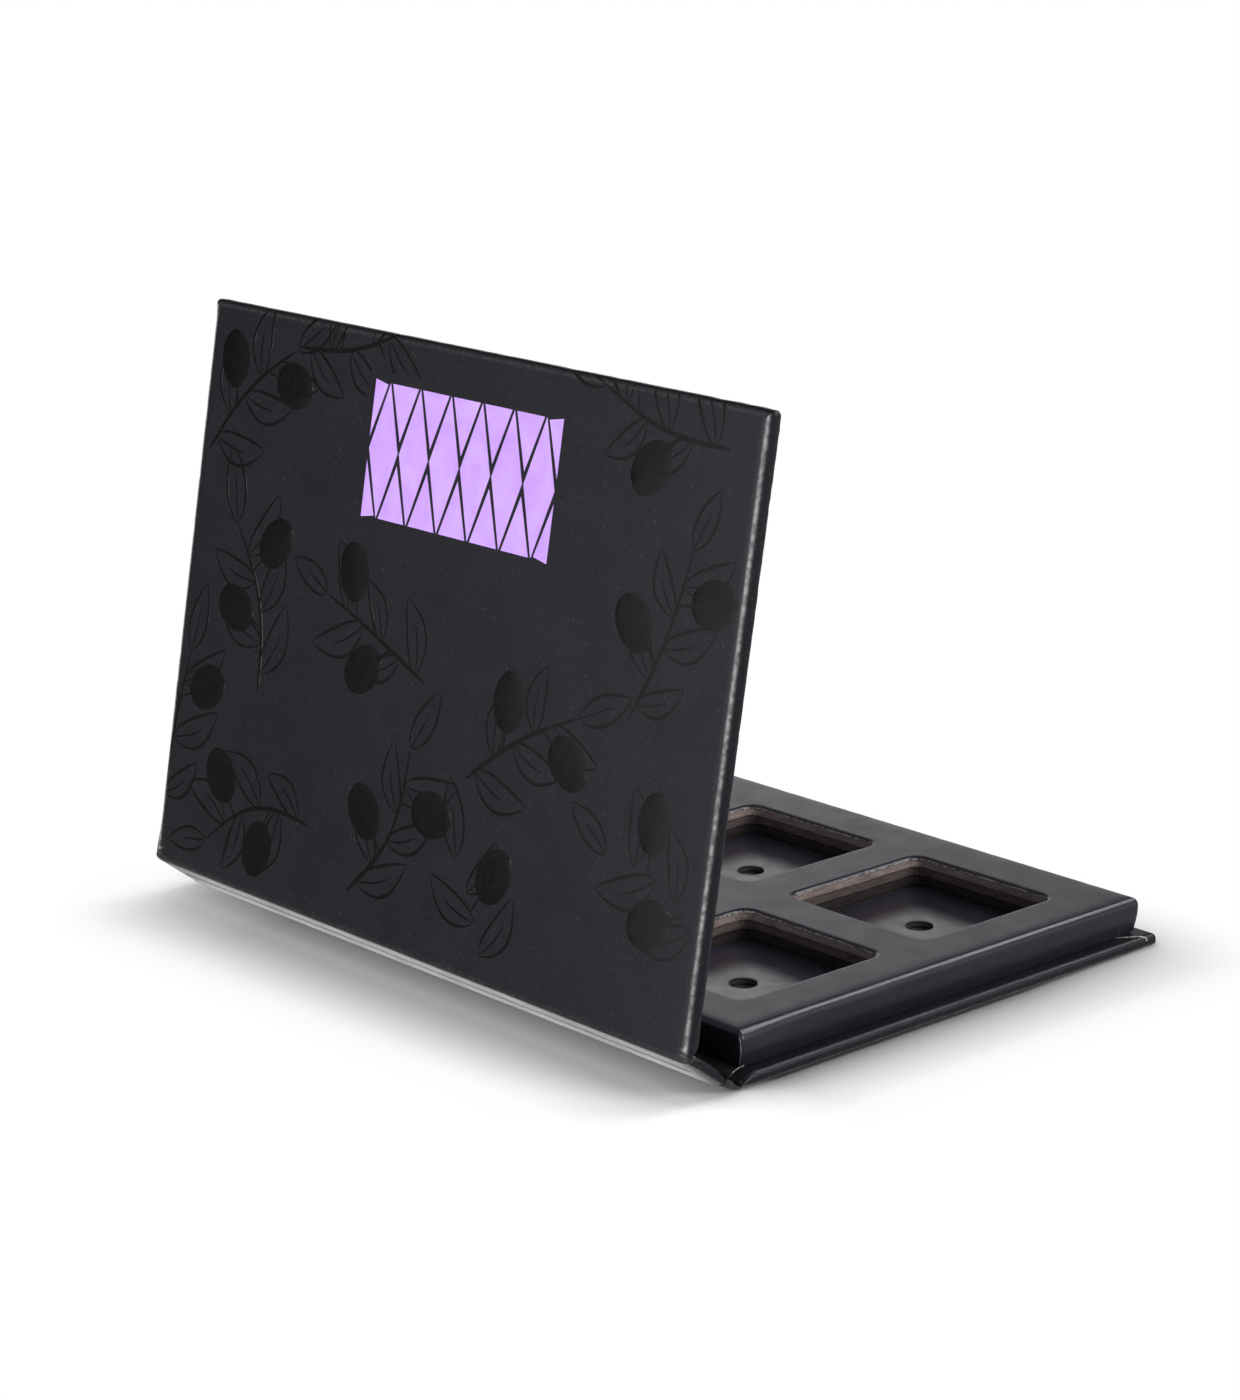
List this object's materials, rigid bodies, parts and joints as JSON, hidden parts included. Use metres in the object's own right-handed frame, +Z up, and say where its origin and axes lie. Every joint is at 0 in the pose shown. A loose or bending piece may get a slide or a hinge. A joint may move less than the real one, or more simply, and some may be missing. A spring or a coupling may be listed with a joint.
{
  "type": "magnetic makeup palette",
  "caption": "Flat book-style makeup case of black paper-covered board: a tray of square wells, a narrow spine and a lid that folds over on two paper creases.",
  "frame": {"origin": "centre of the base's underside, on the table", "axes": "+X along the hinge, +Y from the front edge towards the spine, +Z up"},
  "size_m": [0.118, 0.0927, 0.0892],
  "materials": {
    "soft_touch_wrap": "matte",
    "black_lining": "matte",
    "satin_tray_paper": "satin",
    "gloss_floor_paper": "gloss",
    "greyboard": "matte",
    "magnetic_rubber": "matte",
    "magnet_nickel": "polished",
    "mirror_silver": "polished",
    "purple_foil": "gloss"
  },
  "bodies": {
    "base": {"base_board": "greyboard", "base_wrap": "soft_touch_wrap", "base_liner": "black_lining", "magnet_sheet": "magnetic_rubber", "well_floor_1": "gloss_floor_paper", "well_floor_2": "gloss_floor_paper", "well_floor_3": "gloss_floor_paper", "well_floor_4": "gloss_floor_paper", "well_floor_5": "gloss_floor_paper", "well_floor_6": "gloss_floor_paper", "tray_lower_board": "greyboard", "tray_middle_board": "greyboard", "tray_upper_board": "greyboard", "tray_wrap": "satin_tray_paper", "tray_magnet_left": "magnet_nickel", "tray_magnet_right": "magnet_nickel"},
    "spine": {"spine_board": "greyboard", "spine_wrap": "soft_touch_wrap", "spine_liner": "black_lining"},
    "lid": {"lid_board": "greyboard", "lid_wrap": "soft_touch_wrap", "lid_liner": "black_lining", "mirror": "mirror_silver", "lid_magnet_left": "magnet_nickel", "lid_magnet_right": "magnet_nickel"}
  },
  "joints": [
    {"name": "spine_crease", "type": "hinge", "parent": "base", "child": "spine", "pos_m": [0, 0.04245, 0.00025], "axis": [1, 0, 0], "range_deg": [-37.5, 52.5]},
    {"name": "lid_crease", "type": "hinge", "parent": "spine", "child": "lid", "pos_m": [0, 0.05003, 0.00606], "axis": [1, 0, 0], "range_deg": [-62.8, 27.2]}
  ]
}
